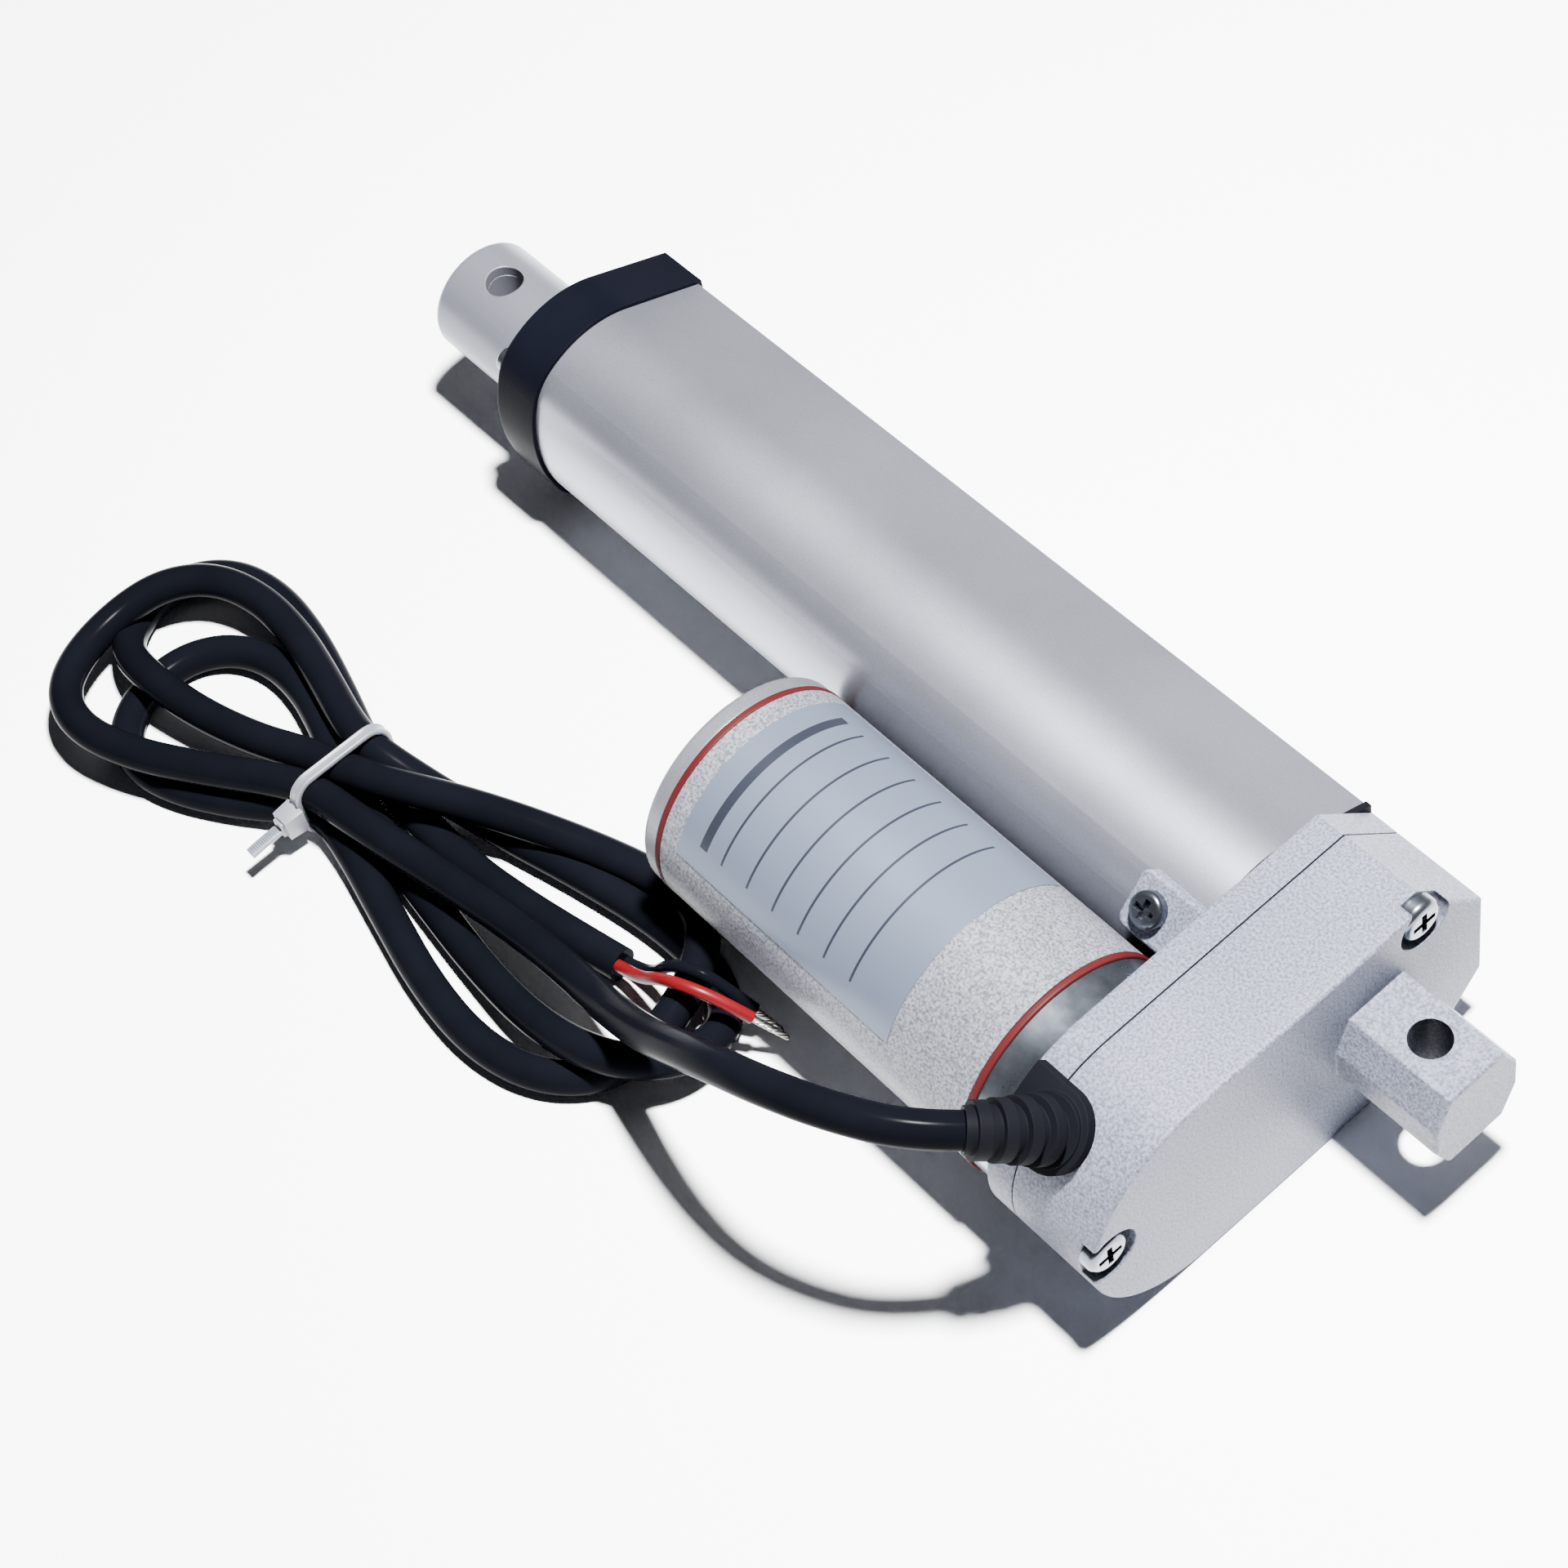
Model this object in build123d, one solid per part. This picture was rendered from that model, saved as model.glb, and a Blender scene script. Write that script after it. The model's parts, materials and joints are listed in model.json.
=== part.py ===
from build123d import *
import math
import os

# Linear actuator, retracted, lying on its side. Millimetres. The origin is the middle of the rear
# pin hole, +X is the direction in which the rod extends, +Y points at the motor and +Z is up.

# ---- driving dimensions ---------------------------------------------------------------------
stroke = 100.0
hole_to_hole = 205.0        # between the two pin holes, retracted
pin_hole_r = 3.2
floor_z = -20.0             # the surface that the gearbox and the cable lie on

# gearbox: a die-cast rear cover and a front housing, one outline
case_half_z = 20.0
case_rear_x = 10.0
case_split_x = 26.0
case_front_x = 31.2
case_far_y = -21.1          # the flat side away from the motor
case_far_half_z = 8.9
case_corner_y = -10.6       # where the top and bottom faces turn into the slanted ones
case_wall = 2.5
case_rear_wall = 3.8
gasket_t = 0.3              # between the two castings

# rear mounting block, in one casting with the rear cover
block_rear_x = -8.6
block_half_y = 8.1
block_half_z = 8.5
block_flat_half_y = 5.3
block_side_half_z = 2.7

# outer tube, an extrusion: round above and below the rod, with a wedge for the limit switches
tube_r = 17.6
tube_near_y = 15.3          # the side that faces the motor
tube_crown_r = 27.0         # and how flat it is there
tube_shoulder_r = 10.0      # where that side turns into the round top and bottom
tube_far_y = -20.9
tube_far_half_z = 10.3
tube_wall = 2.2
tube_front_x = 179.7
tube_gasket_t = 1.0
cap_front_x = 189.4
cap_proud = 0.7
port_r = 1.9                # screw ports along the inside of the extrusion
port_bore_r = 1.1
port_places = [(-16.6, 8.2), (-16.6, -8.2), (10.7, 11.1), (10.7, -11.1)]

# rod
rod_r = 10.0
rod_bore_r = 8.0
rod_rear_x = 47.0
rod_tip_x = hole_to_hole + 9.6
rod_plug_x = 196.0
nut_rear_x = 40.0
nut_spigot_x = 60.0
nut_flange_r = 12.9

# lead screw and its two ball bearings
screw_r = 5.0
screw_journal_r = 4.0
screw_tip_x = 166.0
bearing_r = 8.0
bearing_t = 5.0
bearing_rear_x = 10.4
bearing_front_x = 25.6
ball_r = 1.2
ball_circle_r = 6.0
balls_per_bearing = 9

# gear train: motor pinion, compound idler, screw gear
gear_module = 0.8
pinion_teeth = 12
idler_teeth = 30
idler_pinion_teeth = 12
screw_gear_teeth = 33
pressure_angle = math.radians(25)
addendum = 0.8 * gear_module
dedendum = 1.1 * gear_module
backlash = 0.12
low_gears_x = (16.0, 21.0)   # idler pinion and screw gear
high_gears_x = (21.2, 25.2)  # motor pinion and idler gear
idler_pin_r = 2.0

# motor, side by side with the tube
motor_y = 34.6
sleeve_r = 19.0
sleeve_bore_r = 17.6
band_front_x = 36.6          # steel ring between the gearbox and the rear seal
seal_t = 1.2
sleeve_front_x = 103.0
end_cap_front_x = 107.2
can_r = 15.0
can_wall = 1.4
can_rear_x = 38.5
can_front_x = 98.0
motor_shaft_r = 1.6
through_bolt_circle_r = 16.3
through_bolt_r = 1.15
bolt_head_r = 1.9
bolt_head_t = 1.6           # sunk into the end cap
label_x = (53.5, 99.5)
label_angles = (24.0, 148.0)
label_t = 0.12

# cable
cable_r = 2.8
wire_r = 1.0


# ---- shared shapes ------------------------------------------------------------------------------
def bar(x0, x1, r, y=0.0, z=0.0):
    """A cylinder along X."""
    return Pos((x0 + x1) / 2, y, z) * Rot(0, 90, 0) * Cylinder(r, x1 - x0)


def ring(x0, x1, r_out, r_in, y=0.0, z=0.0):
    return bar(x0, x1, r_out, y, z) - bar(x0 - 1, x1 + 1, r_in, y, z)


def block(x0, x1, y0, y1, z0, z1):
    return Pos((x0 + x1) / 2, (y0 + y1) / 2, (z0 + z1) / 2) * Box(x1 - x0, y1 - y0, z1 - z0)


def prism(face, x0, x1):
    """Extrudes a face drawn in Y and Z along X."""
    return extrude(Plane.YZ.offset(x0) * face, amount=x1 - x0)


def polygon_face(points):
    return make_face(Polyline(*points, close=True))


def on_circle(r, degrees, y=0.0, z=0.0):
    angle = math.radians(degrees)
    return (y + r * math.cos(angle), z + r * math.sin(angle))


def case_outline():
    """Flat above and below, round about the motor's axis, slanted and flat on the far side."""
    far = [(case_corner_y, -case_half_z), (case_far_y, -case_far_half_z)]
    top = [(y, -z) for y, z in reversed(far)]
    bottom_edge = Line((motor_y, -case_half_z), far[0])
    far_edges = Polyline(*far, *top)
    top_edge = Line(top[1], (motor_y, case_half_z))
    round_end = ThreePointArc(
        (motor_y, case_half_z), (motor_y + case_half_z, 0), (motor_y, -case_half_z)
    )
    return make_face(bottom_edge + far_edges + top_edge + round_end)


def tube_outline(grow=0.0):
    """A circle about the rod, flatter at the motor, with straight tangents to the far corners."""
    radius = tube_r + grow
    corner = (tube_far_y - grow, tube_far_half_z + 0.4 * grow)
    reach = math.hypot(*corner)
    tangent = math.atan2(corner[1], corner[0]) - math.acos(radius / reach)
    touch = (radius * math.cos(tangent), radius * math.sin(tangent))
    wedge = polygon_face([touch, corner, (corner[0], -corner[1]), (touch[0], -touch[1])])
    crown = Pos(tube_near_y - tube_crown_r) * Circle(tube_crown_r + grow)
    outline = (Circle(radius) + wedge) & crown
    shoulders = outline.vertices().group_by(Axis.X)[-1]
    return fillet(shoulders, tube_shoulder_r)


def screw_shape(x_head, length, shank_r, head_r, head_t, y, z, facing=-1):
    """A pan-head screw along X with a cross recess; facing is the way its head looks."""
    head = bar(0, head_t, head_r)
    head = fillet(head.edges().sort_by(Axis.X)[-1:], 0.45 * head_t)
    cross = block(head_t - 1.2, head_t + 1, -0.5, 0.5, -0.6 * head_r, 0.6 * head_r)
    cross += block(head_t - 1.2, head_t + 1, -0.6 * head_r, 0.6 * head_r, -0.5, 0.5)
    screw = head - cross + bar(-length, 0, shank_r)
    turn = Rot(0, 0, 180) if facing < 0 else Rot(0, 0, 0)
    return Pos(x_head, y, z) * turn * screw


def involute(base_r, r):
    """The angle by which an involute has turned from its base circle when it reaches r."""
    roll = math.sqrt(max((r / base_r) ** 2 - 1, 0))
    return roll - math.atan(roll)


def gear_face(teeth, tooth_angle):
    """A spur gear's outline with one tooth centred on tooth_angle, in radians."""
    pitch_r = gear_module * teeth / 2
    base_r = pitch_r * math.cos(pressure_angle)
    root_r = pitch_r - dedendum
    tip_r = pitch_r + addendum
    half_tooth = (math.pi * gear_module / 2 - backlash) / 2 / pitch_r
    half_at_base = half_tooth + involute(base_r, pitch_r)
    steps = 5
    first_r = max(base_r, root_r)
    radii = [first_r + (tip_r - first_r) * i / (steps - 1) for i in range(steps)]
    flank = [(r, half_at_base - involute(base_r, r)) for r in radii]
    if root_r < base_r:
        flank = [(root_r, half_at_base)] + flank
    points = []
    for tooth in range(teeth):
        centre = tooth_angle + 2 * math.pi * tooth / teeth
        for r, half in flank:
            points.append((r * math.cos(centre - half), r * math.sin(centre - half)))
        for r, half in reversed(flank):
            points.append((r * math.cos(centre + half), r * math.sin(centre + half)))
    return polygon_face(points)


# ---- gear train layout ---------------------------------------------------------------------------
first_pair = gear_module * (pinion_teeth + idler_teeth) / 2
second_pair = gear_module * (idler_pinion_teeth + screw_gear_teeth) / 2
idler_y = (second_pair**2 - first_pair**2 + motor_y**2) / (2 * motor_y)
idler_z = math.sqrt(second_pair**2 - idler_y**2)
to_idler_from_motor = math.atan2(idler_z, idler_y - motor_y)
to_screw_from_idler = math.atan2(-idler_z, -idler_y)

cover_screw_places = [(-9.6, 15.8), (-9.6, -15.8), (51.2, 1.8)]
counterbore_r = 4.7
counterbore_depth = 2.6
cover_screw_r = 1.7
boss_r = 3.4
tab_angle = 45.0
tab_front_x = 43.8
tab_width = 9.4
tab_outer_r = 19.4
tab_screw_x = 39.6
boot_x = 23.5
boot_angle = 50.0
boot_hole_r = 3.0
boot_lip_r = 4.2


def radial(angle):
    """Puts a shape drawn about +X into place: its X points outwards from the rod at angle."""
    return Rot(angle, 0, 0) * Rot(0, 0, 90)


boot_place = Pos(boot_x, motor_y, 0) * radial(boot_angle)
boot_bore = boot_place * (bar(12.0, 22.0, boot_hole_r) + bar(12.0, 16.9, boot_lip_r + 0.1))


# ---- gearbox ------------------------------------------------------------------------------------
def rear_cover():
    split = case_split_x - gasket_t / 2
    shell = prism(case_outline(), case_rear_x, split)
    rim = shell.edges().filter_by_position(Axis.X, case_rear_x, case_rear_x)
    shell = fillet(rim, 0.5)
    cavity_x = case_rear_x + case_rear_wall
    cavity = prism(offset(case_outline(), amount=-case_wall), cavity_x, split + 1)
    cover = shell - cavity
    inside = prism(offset(case_outline(), amount=-case_wall / 2), cavity_x - 1, split)
    for y, z in cover_screw_places:
        cover += bar(cavity_x - 1, split, boss_r, y, z) & inside
    cover += bar(cavity_x - 1, bearing_rear_x + bearing_t, bearing_r + 2)
    cover += bar(cavity_x - 1, low_gears_x[0] - 0.3, idler_pin_r + 2, idler_y, idler_z)
    y_side, z_side = block_half_y, block_side_half_z
    y_flat, z_flat = block_flat_half_y, block_half_z
    quarter = [(y_side, -z_side), (y_side, z_side), (y_flat, z_flat), (-y_flat, z_flat)]
    section = polygon_face(quarter + [(-y, -z) for y, z in quarter])
    lug = prism(section, block_rear_x, case_rear_x + 1)
    lug = chamfer(lug.edges().filter_by_position(Axis.X, block_rear_x, block_rear_x), 0.4)
    cover += lug
    cover -= bar(bearing_rear_x, bearing_rear_x + bearing_t + 1, bearing_r)
    cover -= bar(case_rear_x + 1.5, split, idler_pin_r, idler_y, idler_z)
    cover -= Cylinder(pin_hole_r, 4 * block_half_z)
    for y, z in cover_screw_places:
        cover -= bar(case_rear_x - 1, case_rear_x + counterbore_depth, counterbore_r, y, z)
        cover -= bar(case_rear_x, split + 1, cover_screw_r, y, z)
    return cover - boot_bore


def front_housing():
    start = case_split_x + gasket_t / 2
    plate = prism(case_outline(), start, case_front_x)
    rim = plate.edges().filter_by_position(Axis.X, case_front_x, case_front_x)
    plate = fillet(rim, 0.4)
    saddle = prism(tube_outline(0.05), case_front_x - 1, tab_front_x + 1)
    saddle += prism(tube_outline(0.45), case_front_x - 1, tube_rear_x + 0.1)
    for side in (1, -1):
        tab = block(
            case_front_x - 2, tab_front_x, -tab_width / 2, tab_width / 2, 16.0, tab_outer_r
        )
        corners = tab.edges().filter_by(Axis.Z).sort_by(Axis.X)[-2:]
        tab = fillet(corners, 1.6)
        tab = chamfer(tab.faces().sort_by(Axis.Z)[-1].edges(), 0.3)
        plate += Rot(side * tab_angle - 90, 0, 0) * tab - saddle
    plate -= bar(start - 1, bearing_front_x + bearing_t, bearing_r)
    plate -= bar(start, case_front_x + 1, bearing_r - 1.5)
    plate -= bar(start - 1, case_front_x - 1.5, idler_pin_r, idler_y, idler_z)
    plate -= bar(start - 1, case_front_x + 1, 3.2, motor_y)
    plate -= bar(case_front_x - 1.4, case_front_x + 1, can_r - 2.0, motor_y)
    for y, z in cover_screw_places:
        plate -= bar(start - 1, case_front_x - 0.8, cover_screw_r, y, z)
    for y, z in through_bolt_places():
        plate -= bar(start + 1.0, case_front_x + 1, through_bolt_r, y, z)
    for screw in tab_screw_list():
        plate -= screw
    return plate - boot_bore


def cover_gasket():
    """A thin black seal between the two castings, set back a hair from the outside."""
    outer = offset(case_outline(), amount=-0.15)
    inner = offset(case_outline(), amount=-case_wall + 0.1)
    x0, x1 = case_split_x - gasket_t / 2, case_split_x + gasket_t / 2
    gasket = prism(outer, x0, x1) - prism(inner, x0 - 1, x1 + 1)
    for y, z in cover_screw_places:
        gasket -= bar(x0 - 1, x1 + 1, cover_screw_r, y, z)
    return gasket - boot_bore


def cover_screws():
    x_head = case_rear_x + counterbore_depth
    length = case_front_x - 0.8 - x_head
    return [
        screw_shape(x_head, length, cover_screw_r, 3.5, 2.5, y, z)
        for y, z in cover_screw_places
    ]


def tab_screw_list():
    screws = []
    for side in (1, -1):
        screw = screw_shape(tab_outer_r, 4.6, 1.3, 2.85, 1.9, 0, 0, facing=1)
        screws.append(Pos(tab_screw_x, 0, 0) * radial(side * tab_angle) * screw)
    return screws


def strain_relief():
    """A moulded rubber boot: an inner lip, a neck, a D-shaped flange and a ribbed, bent tail."""
    lip = bar(15.0, 16.8, boot_lip_r)
    neck = bar(16.0, 20.6, boot_hole_r)
    boot = boot_place * (lip + neck) + flange_block()
    for step in range(boot_steps):
        boot += boot_piece(step)
    cable_end = boot_frame(1.0) * (Pos(0, 0, 5) * Cylinder(cable_r + 3, 10))
    return boot - cable_end


# The boot's middle line bends in an arc from the wall's normal towards +X.
boot_start = (boot_x, *on_circle(case_half_z + 0.2, boot_angle, motor_y))
boot_ribs = 5
boot_steps = 2 * boot_ribs
boot_length = 14.8
boot_first_dir = Vector(0, *on_circle(1, boot_angle))
boot_last_dir = Vector(0.60, 0.76, 0.25).normalized()


def boot_frame(share):
    """The middle line's point and direction at a share of the boot's length, as a plane."""
    turn = boot_first_dir.get_angle(boot_last_dir)
    sideways = (boot_last_dir - boot_first_dir * boot_first_dir.dot(boot_last_dir)).normalized()
    bend_r = boot_length / math.radians(turn)
    angle = math.radians(turn) * share
    middle = Vector(*boot_start)
    middle += boot_first_dir * (bend_r * math.sin(angle))
    middle += sideways * (bend_r * (1 - math.cos(angle)))
    forward = boot_first_dir * math.cos(angle) + sideways * math.sin(angle)
    return Plane(origin=middle, z_dir=forward)


def boot_piece(step):
    """Ribs and the grooves between them, each a short cone that tapers to the cable."""
    share = step / boot_steps
    place = boot_frame(share)
    is_rib = step % 2 == 0
    r = 5.3 - 1.5 * share if is_rib else 3.9 - 0.6 * share
    length = boot_length / boot_steps + 0.5
    return place * (Pos(0, 0, length / 2) * Cylinder(r, length))


def flange_block():
    """The boot's outer flange: flat towards the front, round behind, curved with the wall."""
    half = 6.3
    outline = Circle(half) + Pos(half / 2 + 0.3, 0) * Rectangle(half + 0.6, 2 * half)
    place = Plane(
        origin=(boot_x, motor_y, 0), x_dir=(1, 0, 0), z_dir=tuple(boot_first_dir)
    ).offset(17.0)
    pad = extrude(place * outline, amount=5.0)
    shell = bar(boot_x - 10, boot_x + 10, case_half_z + 1.8, motor_y)
    wall = bar(boot_x - 11, boot_x + 11, case_half_z, motor_y)
    return (pad & shell) - wall


# ---- gears and lead screw -------------------------------------------------------------------------
def motor_pinion():
    face = gear_face(pinion_teeth, to_idler_from_motor)
    gear = Pos(0, motor_y, 0) * prism(face, *high_gears_x)
    return gear - bar(0, 40, motor_shaft_r, motor_y)


def idler_gear():
    """A compound moulding: the large gear and the small pinion turn together on a steel pin."""
    large_angle = to_idler_from_motor + math.pi + math.pi / idler_teeth
    large = prism(gear_face(idler_teeth, large_angle), *high_gears_x)
    small = prism(gear_face(idler_pinion_teeth, to_screw_from_idler), low_gears_x[0], high_gears_x[0])
    gear = Pos(0, idler_y, idler_z) * (large + small)
    return gear - bar(0, 40, idler_pin_r + 0.05, idler_y, idler_z)


def idler_pin():
    return bar(case_rear_x + 1.5, case_front_x - 1.5, idler_pin_r, idler_y, idler_z)


def screw_gear():
    angle = to_screw_from_idler + math.pi + math.pi / screw_gear_teeth
    gear = prism(gear_face(screw_gear_teeth, angle), *low_gears_x)
    for spoke in range(6):
        y, z = on_circle(8.2, 60 * spoke)
        gear -= bar(0, 40, 2.3, y, z)
    return gear - bar(0, 40, screw_journal_r)


def lead_screw():
    screw = bar(bearing_rear_x + 0.2, case_front_x + 0.4, screw_journal_r)
    thread = bar(case_front_x + 0.4, screw_tip_x - 3, screw_r)
    thread = chamfer(thread.edges(), 0.6)
    return screw + thread + bar(screw_tip_x - 3, screw_tip_x, 3.0)


def screw_stop_ring():
    return ring(screw_tip_x - 3, screw_tip_x - 0.8, 7.4, 3.0)


def bearing_parts():
    """Outer rings, inner rings and balls of the two deep-groove bearings, as three groups."""
    outer, inner, balls = [], [], []
    for x in (bearing_rear_x, bearing_front_x):
        middle = x + bearing_t / 2
        groove = Pos(middle, 0, 0) * Rot(0, 90, 0) * Torus(ball_circle_r, ball_r + 0.06)
        outer.append(ring(x, x + bearing_t, bearing_r, 6.6) - groove)
        inner.append(ring(x, x + bearing_t, 5.4, screw_journal_r) - groove)
        for number in range(balls_per_bearing):
            y, z = on_circle(ball_circle_r, 360 / balls_per_bearing * number)
            balls.append(Pos(middle, y, z) * Sphere(ball_r))
    return outer, inner, balls


# ---- tube, rod and front end ----------------------------------------------------------------------
tube_rear_x = case_front_x + tube_gasket_t


def tube_inside():
    inside = offset(tube_outline(), amount=-tube_wall)
    for y, z in port_places:
        inside -= Pos(y, z) * Circle(port_r)
    return inside


def outer_tube():
    section = tube_outline() - tube_inside()
    for y, z in port_places:
        section -= Pos(y, z) * Circle(port_bore_r)
    tube = prism(section, tube_rear_x, tube_front_x)
    for screw in tab_screw_list():
        tube -= screw
    return tube


def tube_gasket():
    face = tube_outline(0.35) - Circle(bearing_r + 4)
    return prism(face, case_front_x, tube_rear_x)


def front_cap():
    cap = prism(tube_outline(cap_proud), tube_front_x, cap_front_x)
    rim = cap.edges().filter_by_position(Axis.X, cap_front_x, cap_front_x)
    cap = fillet(rim, 0.8)
    cap -= bar(tube_front_x - 1, cap_front_x + 1, rod_r + 0.3)
    cap -= bar(cap_front_x - 4.5, cap_front_x + 1, rod_r + 2.6)
    for y, z in port_places:
        cap -= bar(tube_front_x - 1, cap_front_x + 1, 1.3, y, z)
    return cap


def rod_wiper():
    """The rubber wiper seal: a ring with a lip that leans on the rod."""
    x0 = cap_front_x - 4.5
    seal = ring(x0, cap_front_x + 0.2, rod_r + 2.6, rod_r + 0.06)
    rear = bar(x0 + 1.5, cap_front_x - 1.2, rod_r + 1.2) - bar(x0, cap_front_x, rod_r + 0.06)
    return seal - rear


def rod_guide():
    face = offset(tube_outline(), amount=-tube_wall - 0.05)
    for y, z in port_places:
        face -= Pos(y, z) * Circle(port_r + 0.05)
    return prism(face, 166.5, tube_front_x) - bar(160, 190, rod_r + 0.06)


def cap_screws():
    return [
        screw_shape(cap_front_x, 16.0, port_bore_r, 2.2, 1.5, y, z, facing=1)
        for y, z in port_places
    ]


def pin_hole():
    return Pos(hole_to_hole, 0, 0) * Cylinder(pin_hole_r, 4 * rod_r)


def rod_tube():
    rod = bar(rod_rear_x, rod_tip_x, rod_r)
    rod = fillet(rod.edges().sort_by(Axis.X)[-1:], 1.4)
    return rod - bar(rod_rear_x - 1, rod_tip_x + 1, rod_bore_r) - pin_hole()


def rod_plug():
    plug = bar(rod_plug_x, rod_tip_x, rod_bore_r)
    plug = chamfer(plug.edges().sort_by(Axis.X)[-1:], 0.2)
    return plug - pin_hole()


def drive_nut():
    """The nut on the lead screw, pressed into the rod, with the ear that trips the switches."""
    nut = bar(nut_rear_x, rod_rear_x, nut_flange_r) + bar(rod_rear_x, nut_spigot_x, rod_bore_r)
    nut += block(nut_rear_x, nut_rear_x + 6, -16.6, -8, 0.9, 5.0)
    return nut - bar(nut_rear_x - 1, nut_spigot_x + 1, screw_r + 0.1)


def limit_switch_board():
    return block(34.0, 160.0, -18.6, -17.4, -5.8, 5.8)


def limit_switches():
    switches = []
    for x in (nut_rear_x + 3, nut_rear_x + 3 + stroke):
        body = block(x - 6.4, x + 6.4, -17.4, -13.6, -5.8, 0.2)
        lever = block(x - 4.5, x + 5.5, -13.6, -13.3, -4.5, -1.5)
        switches.append(body + lever)
    return switches


# ---- motor -----------------------------------------------------------------------------------------
def motor_ring(x0, x1, r_out, r_in):
    return ring(x0, x1, r_out, r_in, motor_y)


def through_bolt_places():
    return [on_circle(through_bolt_circle_r, angle, motor_y) for angle in (90, 270)]


def motor_mount_ring():
    band = bar(case_front_x, band_front_x, sleeve_r - 0.4, motor_y)
    band -= bar(case_front_x - 1, band_front_x + 1, can_r, motor_y)
    for y, z in through_bolt_places():
        band -= bar(case_front_x - 1, band_front_x + 1, through_bolt_r, y, z)
    return band


def motor_seals():
    seals = []
    for x in (band_front_x, sleeve_front_x):
        seal = bar(x, x + seal_t, sleeve_r + 0.1, motor_y)
        seal = fillet(seal.edges(), 0.35)
        seals.append(seal - bar(x - 1, x + seal_t + 1, sleeve_bore_r, motor_y))
    return seals


def motor_sleeve():
    return motor_ring(band_front_x + seal_t, sleeve_front_x, sleeve_r, sleeve_bore_r)


def motor_label():
    span = label_angles[1] - label_angles[0]
    label = motor_ring(*label_x, sleeve_r + label_t, sleeve_r)
    reach = 3 * sleeve_r
    sector = [(0, 0)] + [
        on_circle(reach, label_angles[0] + span * i / 6) for i in range(7)
    ]
    return label & Pos(0, motor_y, 0) * prism(polygon_face(sector), *label_x)


def motor_end_cap():
    """The front end ring and wall: dished, with a boss in the middle and two bolt recesses."""
    x0 = sleeve_front_x + seal_t
    cap = bar(x0, end_cap_front_x, sleeve_r - 0.1, motor_y)
    cap = fillet(cap.edges().sort_by(Axis.X)[-1:], 0.9)
    spigot = bar(x0 - 3.5, x0, sleeve_bore_r, motor_y) - bar(x0 - 4, x0, can_r + 0.3, motor_y)
    cap += spigot
    cap -= bar(x0 - 1, x0 + 1.4, can_r - 1, motor_y)
    cap -= motor_ring(end_cap_front_x - 0.8, end_cap_front_x + 1, 12.5, 7.0)
    for y, z in through_bolt_places():
        cap -= bar(x0 - 5, end_cap_front_x + 1, through_bolt_r, y, z)
        cap -= bar(end_cap_front_x - bolt_head_t, end_cap_front_x + 1, bolt_head_r + 0.05, y, z)
    return cap


def motor_bolts():
    x_head = end_cap_front_x - bolt_head_t
    length = x_head - (case_split_x + gasket_t / 2 + 1.0)
    return [
        screw_shape(x_head, length, through_bolt_r, bolt_head_r, bolt_head_t, y, z, facing=1)
        for y, z in through_bolt_places()
    ]


def motor_can():
    can = motor_ring(can_rear_x, can_front_x, can_r, can_r - can_wall)
    can += motor_ring(can_front_x - can_wall, can_front_x, can_r - can_wall, 3.0)
    return can + motor_ring(can_front_x, can_front_x + 3, 4.5, 3.0)


def motor_end_plate():
    plate = motor_ring(case_front_x - 1.4, can_rear_x, can_r - 2.0, 3.0)
    return plate + motor_ring(case_front_x, can_rear_x, can_r, can_r - 2.0)


def motor_bushes():
    rear = motor_ring(case_front_x - 1.4, can_rear_x + 1.4, 3.0, motor_shaft_r + 0.03)
    front = motor_ring(can_front_x - 2, can_front_x + 3, 3.0, motor_shaft_r + 0.03)
    return [rear, front]


def motor_magnets():
    magnets = []
    shell = motor_ring(50, 92, can_r - can_wall, 11.9)
    for side in (1, -1):
        z0, z1 = (2.5, 20) if side > 0 else (-20, -2.5)
        magnets.append(shell & block(49, 93, 0, 80, z0, z1))
    return magnets


def brush_holder():
    holder = motor_ring(can_rear_x, can_rear_x + 2.0, can_r - can_wall, 5.0)
    for side in (1, -1):
        y0, y1 = sorted((motor_y + side * 4.6, motor_y + side * 11.0))
        x0 = can_rear_x + 1.5
        holder += block(x0, x0 + 7.5, y0, y1, -3.2, 3.2) - block(x0 + 1.5, x0 + 6, y0 - 1, y1 + 1, -2, 2)
    return holder


def motor_brushes():
    brushes = []
    for side in (1, -1):
        y0, y1 = sorted((motor_y + side * 4.15, motor_y + side * 9.0))
        brushes.append(block(can_rear_x + 3.0, can_rear_x + 7.5, y0, y1, -2, 2))
    return brushes


def motor_shaft():
    return bar(19.8, can_front_x + 3, motor_shaft_r, motor_y)


def commutator():
    drum = motor_ring(can_rear_x + 2.4, can_rear_x + 10, 4.0, motor_shaft_r)
    for segment in range(6):
        slot = block(can_rear_x + 2, can_rear_x + 9, 3.4, 4.5, -0.15, 0.15)
        drum -= Pos(0, motor_y, 0) * Rot(60 * segment, 0, 0) * slot
    return drum


def armature_core():
    """The laminated stack: six poles with a wide shoe each."""
    core = motor_ring(53, 89, 11.3, motor_shaft_r)
    for slot in range(6):
        mouth = block(52, 90, 4.8, 12, -0.7, 0.7)
        pocket = block(52, 90, 4.8, 9.6, -1.9, 1.9)
        core -= Pos(0, motor_y, 0) * Rot(60 * slot + 30, 0, 0) * (mouth + pocket)
    return core


def armature_windings():
    coils = []
    for slot in range(6):
        coil = block(50.8, 91.2, 5.0, 9.4, -1.7, 1.7)
        coils.append(Pos(0, motor_y, 0) * Rot(60 * slot + 30, 0, 0) * coil)
    return coils


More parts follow.
